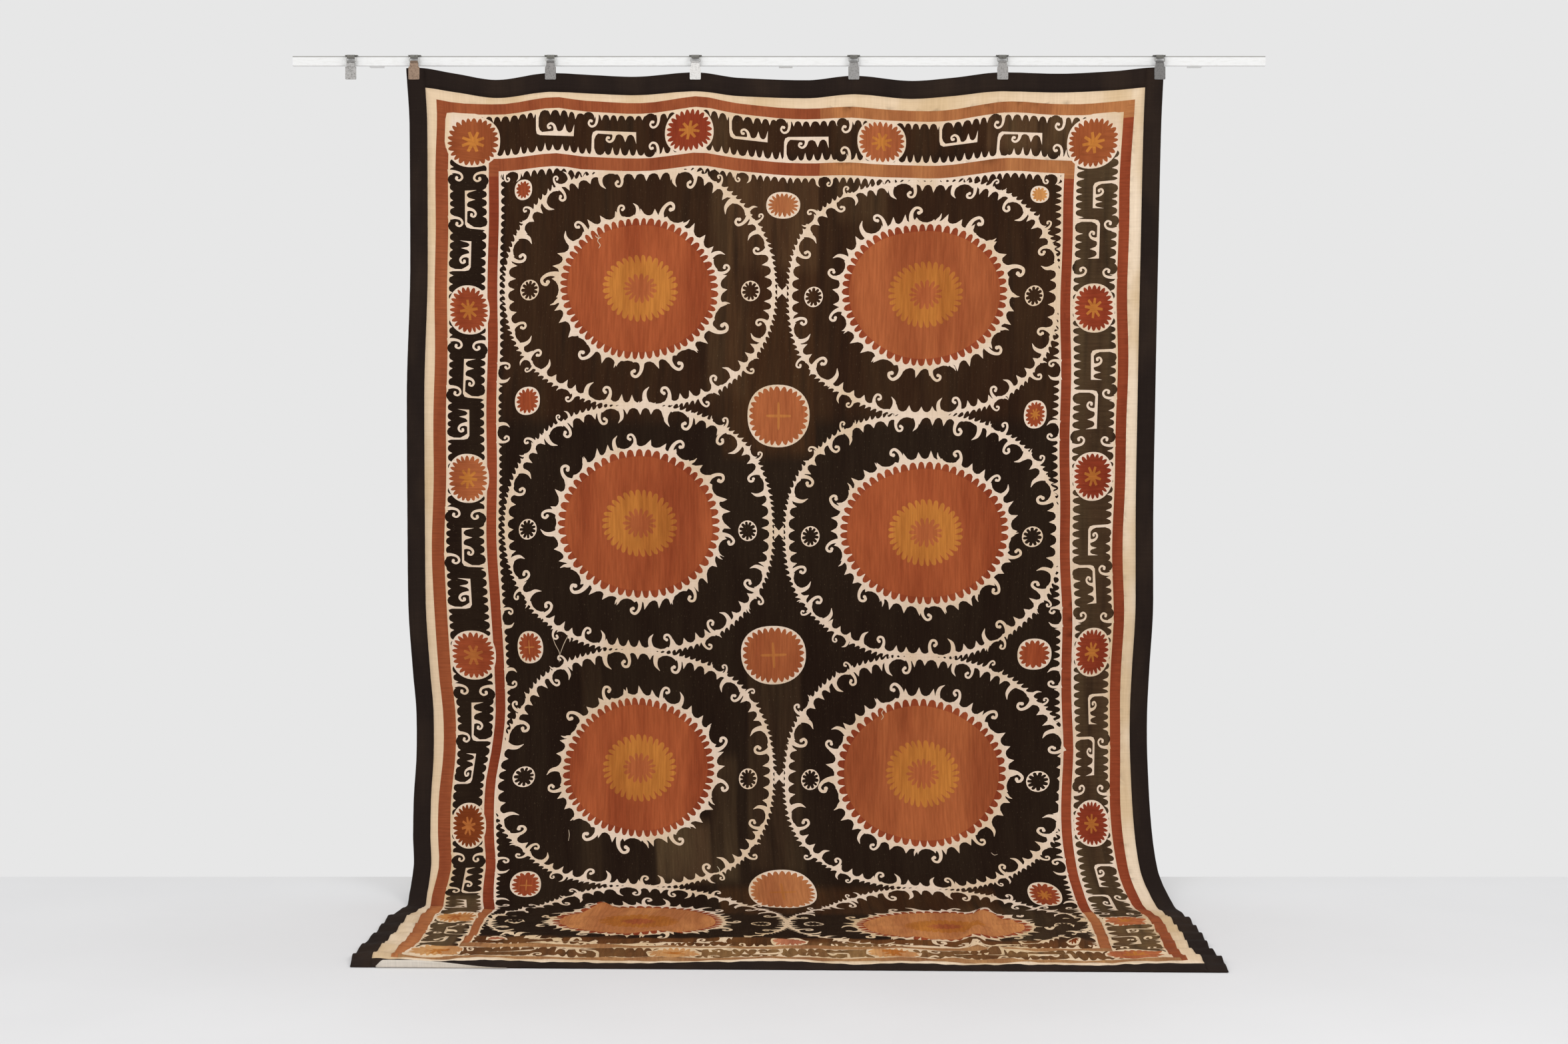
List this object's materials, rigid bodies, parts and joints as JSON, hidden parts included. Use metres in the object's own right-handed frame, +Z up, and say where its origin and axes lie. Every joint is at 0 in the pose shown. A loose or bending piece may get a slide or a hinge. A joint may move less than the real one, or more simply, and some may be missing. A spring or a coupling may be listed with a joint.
{
  "type": "embroidered suzani hanging on a clip rail",
  "caption": "Wide embroidered suzani cloth hung by clips from a wall rail, falling nearly flat and lying on the floor with its lower end.",
  "frame": {"origin": "on the wall, behind the middle of the rail: the middle of the back face of the centre rail block", "axes": "+X to the right of someone who faces the cloth, +Y towards the wall, +Z up"},
  "size_m": [2.835, 1.305, 2.4153],
  "materials": {
    "embroidery": "silk couching on cotton, matt with a faint sheen",
    "dark_border": "plain dark cotton sateen",
    "lining": "plain unbleached cotton",
    "rail_paint": "white paint, lightly worn",
    "clip_hook": "dull dark steel",
    "clip_ring": "bright wire",
    "clip_jaw": "brushed steel plate, slightly worn"
  },
  "bodies": {
    "root": {"cloth_embroidered": "embroidery", "border_left": "dark_border", "border_right": "dark_border", "border_top": "dark_border", "border_bottom": "dark_border", "lining_edge": "lining", "rail": "rail_paint", "rail_block_left": "rail_paint", "rail_block_centre": "rail_paint", "rail_block_right": "rail_paint", "clip_spare_hook": "clip_hook", "clip_spare_ring": "clip_ring", "clip_spare_jaw": "clip_jaw", "clip_1_hook": "clip_hook", "clip_1_ring": "clip_ring", "clip_1_jaw": "clip_jaw", "clip_2_hook": "clip_hook", "clip_2_ring": "clip_ring", "clip_2_jaw": "clip_jaw", "clip_3_hook": "clip_hook", "clip_3_ring": "clip_ring", "clip_3_jaw": "clip_jaw", "clip_4_hook": "clip_hook", "clip_4_ring": "clip_ring", "clip_4_jaw": "clip_jaw", "clip_5_hook": "clip_hook", "clip_5_ring": "clip_ring", "clip_5_jaw": "clip_jaw", "clip_6_hook": "clip_hook", "clip_6_ring": "clip_ring", "clip_6_jaw": "clip_jaw"}
  },
  "joints": []
}
